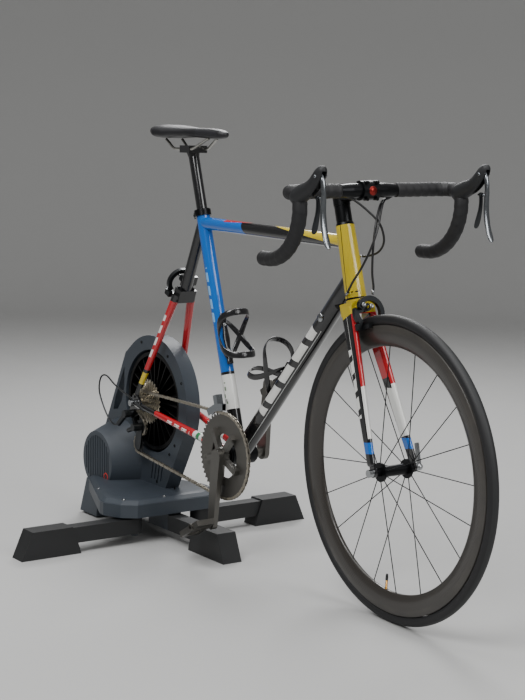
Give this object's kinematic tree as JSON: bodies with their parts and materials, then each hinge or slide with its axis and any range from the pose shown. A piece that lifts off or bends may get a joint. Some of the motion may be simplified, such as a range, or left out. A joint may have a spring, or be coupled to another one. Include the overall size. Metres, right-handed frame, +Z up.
{
  "type": "bicycle on trainer stand",
  "caption": "Drop-bar road bicycle clamped by its rear dropouts to a folding direct-drive trainer with a belt-driven brake unit.",
  "frame": {"origin": "centre of the bounding box at floor level", "axes": "+X forwards along the bicycle, +Y to its left, +Z up"},
  "size_m": [1.6017, 0.854, 1.0632],
  "materials": {
    "housing": "moulded, fine grain",
    "foot": "moulded, matt",
    "leg": "powder coated steel tube",
    "steel": "polished",
    "belt": "moulded rubber",
    "pulley": "black anodised",
    "cog": "nickel plated",
    "rotor": "turned",
    "paint_yellow": "gloss lacquer",
    "paint_blue": "gloss lacquer",
    "paint_black": "gloss lacquer",
    "paint_red": "gloss lacquer",
    "paint_white": "gloss lacquer",
    "alloy_black": "black anodised",
    "alloy_grey": "dark grey, satin",
    "alloy": "polished",
    "rail": "satin tube",
    "saddle": "smooth cover over foam",
    "tape": "cork-rubber tape",
    "hood": "soft textured rubber",
    "tyre": "slick tread",
    "rim": "clear-coated carbon",
    "spoke": "black coated",
    "crank": "grey anodised",
    "chain": "oiled steel",
    "cage": "fibre filled",
    "cable": "lined housing",
    "jockey": "moulded"
  },
  "bodies": {
    "stand": {"trainer_housing": "housing", "trainer_base": "housing", "brake_housing": "housing", "front_leg": "leg", "front_foot": "foot", "drive_belt": "belt", "trainer_axle": "steel", "head_tube": "paint_yellow", "top_tube": "paint_blue", "down_tube": "paint_black", "seat_tube": "paint_blue", "bottom_bracket": "alloy_black", "seat_stays": "paint_red", "chain_stays": "paint_red", "seat_clamp": "alloy_black", "bottle_cages": "cage", "headset": "alloy_black", "chain": "chain", "rear_derailleur_body": "alloy_grey", "cable_housings": "cable"},
    "right_leg": {"side_leg_right": "leg", "side_foot_right": "foot"},
    "left_leg": {"side_leg_left": "leg", "side_foot_left": "foot"},
    "rear_release": {"rear_skewer_lever": "steel"},
    "pulley": {"drive_pulley": "pulley"},
    "cassette": {"cassette": "cog"},
    "rotor": {"brake_rotor": "rotor"},
    "seat": {"seatpost": "alloy_black", "saddle_rails": "rail", "saddle": "saddle"},
    "steering": {"fork": "paint_white", "stem": "alloy_black", "handlebar": "alloy_black", "bar_tape": "tape", "lever_hoods": "hood", "front_skewer": "steel"},
    "front_release": {"front_skewer_lever": "steel"},
    "lever_r": {"brake_lever_right": "alloy"},
    "lever_l": {"brake_lever_left": "alloy"},
    "paddle_r": {"shift_paddle_right": "alloy_grey"},
    "paddle_l": {"shift_paddle_left": "alloy_grey"},
    "front_arm_r": {"front_brake_arm_right": "alloy_grey"},
    "front_arm_l": {"front_brake_arm_left": "alloy_grey"},
    "rear_arm_r": {"rear_brake_arm_right": "alloy_grey"},
    "rear_arm_l": {"rear_brake_arm_left": "alloy_grey"},
    "front_wheel": {"tyre": "tyre", "rim": "rim", "spokes": "spoke", "front_hub": "alloy_black"},
    "crankset": {"crank_right": "crank", "chainrings": "crank", "crank_left": "crank"},
    "pedal_r": {"pedal_right": "crank"},
    "pedal_l": {"pedal_left": "crank"},
    "front_mech": {"front_derailleur": "alloy"},
    "rear_mech": {"rear_derailleur_knuckle": "alloy_grey"},
    "mech_cage": {"rear_derailleur_cage": "alloy_grey"},
    "guide": {"guide_pulley": "jockey"},
    "tension": {"tension_pulley": "jockey"}
  },
  "joints": [
    {"name": "right_leg_fold", "type": "hinge", "parent": "stand", "child": "right_leg", "pos_m": [-0.405, -0.096, 0.045], "axis": [0, 0, 1], "range_deg": [-90, 0]},
    {"name": "left_leg_fold", "type": "hinge", "parent": "stand", "child": "left_leg", "pos_m": [-0.405, 0.096, 0.045], "axis": [0, 0, 1], "range_deg": [0, 90]},
    {"name": "rear_release_turn", "type": "hinge", "parent": "stand", "child": "rear_release", "pos_m": [-0.525, 0.126, 0.3404], "axis": [0.5, 0, -0.866], "range_deg": [-170, 0]},
    {"name": "pulley_spin", "type": "hinge", "parent": "stand", "child": "pulley", "pos_m": [-0.525, 0.045, 0.3404], "axis": [0, 1, 0], "continuous": true},
    {"name": "cassette_spin", "type": "hinge", "parent": "stand", "child": "cassette", "pos_m": [-0.525, -0.004, 0.3404], "axis": [0, 1, 0], "continuous": true},
    {"name": "rotor_spin", "type": "hinge", "parent": "stand", "child": "rotor", "pos_m": [-0.685, -0.009, 0.16], "axis": [0, 1, 0], "continuous": true},
    {"name": "crank_spin", "type": "hinge", "parent": "stand", "child": "crankset", "pos_m": [-0.12431, 0.041, 0.2662], "axis": [0, 1, 0], "continuous": true},
    {"name": "right_pedal_spin", "type": "hinge", "parent": "crankset", "child": "pedal_r", "pos_m": [-0.14204, -0.059, 0.09461], "axis": [0, 1, 0], "continuous": true},
    {"name": "left_pedal_spin", "type": "hinge", "parent": "crankset", "child": "pedal_l", "pos_m": [-0.10658, 0.141, 0.43779], "axis": [0, 1, 0], "continuous": true},
    {"name": "seat_height", "type": "slide", "parent": "stand", "child": "seat", "axis": [-0.3007, 0, 0.9537], "range_m": [-0.06, 0.03]},
    {"name": "steering", "type": "hinge", "parent": "stand", "child": "steering", "pos_m": [0.29746, 0.041, 0.77034], "axis": [-0.2773, 0, 0.9608], "range_deg": [-45, 45], "deforming": ["cable_housings"]},
    {"name": "front_wheel_spin", "type": "hinge", "parent": "steering", "child": "front_wheel", "pos_m": [0.46597, 0.03937, 0.33499], "axis": [0.0381, 0.9992, 0.011], "continuous": true},
    {"name": "front_release_turn", "type": "hinge", "parent": "steering", "child": "front_release", "pos_m": [0.46863, 0.10931, 0.33576], "axis": [0.9389, -0.0395, 0.3418], "range_deg": [-170, 0]},
    {"name": "right_brake_lever", "type": "hinge", "parent": "steering", "child": "lever_r", "pos_m": [0.47714, -0.18111, 0.96176], "axis": [0.0381, 0.9992, 0.011], "range_deg": [0, 18], "stiffness_Nm_per_rad": 1.5, "springref_deg": -11.46},
    {"name": "right_shift_paddle", "type": "hinge", "parent": "lever_r", "child": "paddle_r", "pos_m": [0.47116, -0.1804, 0.91776], "axis": [0.9993, -0.0381, -0.0002], "range_deg": [0, 15], "stiffness_Nm_per_rad": 0.2, "springref_deg": -11.46},
    {"name": "left_brake_lever", "type": "hinge", "parent": "steering", "child": "lever_l", "pos_m": [0.49336, 0.24455, 0.96644], "axis": [0.0381, 0.9992, 0.011], "range_deg": [0, 18], "stiffness_Nm_per_rad": 1.5, "springref_deg": -11.46},
    {"name": "left_shift_paddle", "type": "hinge", "parent": "lever_l", "child": "paddle_l", "pos_m": [0.48737, 0.24526, 0.92244], "axis": [-0.9993, 0.0381, 0.0002], "range_deg": [0, 15], "stiffness_Nm_per_rad": 0.2, "springref_deg": -11.46},
    {"name": "front_arm_right_turn", "type": "hinge", "parent": "steering", "child": "front_arm_r", "pos_m": [0.35813, 0.03973, 0.67544], "axis": [0.96, -0.0396, 0.2771], "range_deg": [0, 2.5]},
    {"name": "front_arm_left_turn", "type": "hinge", "parent": "steering", "child": "front_arm_l", "pos_m": [0.36586, 0.01935, 0.68183], "axis": [0.96, -0.0396, 0.2771], "range_deg": [-2.5, 0]},
    {"name": "rear_arm_left_turn", "type": "hinge", "parent": "stand", "child": "rear_arm_l", "pos_m": [-0.39938, 0.041, 0.67543], "axis": [-0.9107, 0, 0.4131], "range_deg": [0, 2.5]},
    {"name": "rear_arm_right_turn", "type": "hinge", "parent": "stand", "child": "rear_arm_r", "pos_m": [-0.40683, 0.061, 0.6832], "axis": [-0.9107, 0, 0.4131], "range_deg": [-2.5, 0]},
    {"name": "front_mech_shift", "type": "slide", "parent": "stand", "child": "front_mech", "axis": [0, 1, 0], "range_m": [0, 0.006]},
    {"name": "rear_mech_shift", "type": "slide", "parent": "stand", "child": "rear_mech", "axis": [0, 0.7515, -0.6598], "range_m": [-0.0197, 0.0295], "deforming": ["chain"]},
    {"name": "cage_swing", "type": "hinge", "parent": "rear_mech", "child": "mech_cage", "pos_m": [-0.523, -0.019, 0.275], "axis": [0, 1, 0], "range_deg": [-30, 20], "stiffness_Nm_per_rad": 0.6, "deforming": ["chain"]},
    {"name": "guide_spin", "type": "hinge", "parent": "mech_cage", "child": "guide", "pos_m": [-0.523, -0.006, 0.275], "axis": [0, 1, 0], "continuous": true},
    {"name": "tension_spin", "type": "hinge", "parent": "mech_cage", "child": "tension", "pos_m": [-0.535, -0.006, 0.226], "axis": [0, 1, 0], "continuous": true}
  ],
  "couplings": [
    {"joint": "cassette_spin", "follows": "pulley_spin", "ratio": 1},
    {"joint": "rotor_spin", "follows": "pulley_spin", "ratio": 6.55},
    {"joint": "crank_spin", "follows": "pulley_spin", "ratio": 0.28846},
    {"joint": "guide_spin", "follows": "pulley_spin", "ratio": -1.3636},
    {"joint": "tension_spin", "follows": "pulley_spin", "ratio": 1.3636},
    {"joint": "front_arm_right_turn", "follows": "left_brake_lever", "ratio": 0.13889},
    {"joint": "front_arm_left_turn", "follows": "left_brake_lever", "ratio": -0.13889},
    {"joint": "rear_arm_left_turn", "follows": "right_brake_lever", "ratio": 0.13889},
    {"joint": "rear_arm_right_turn", "follows": "right_brake_lever", "ratio": -0.13889}
  ]
}
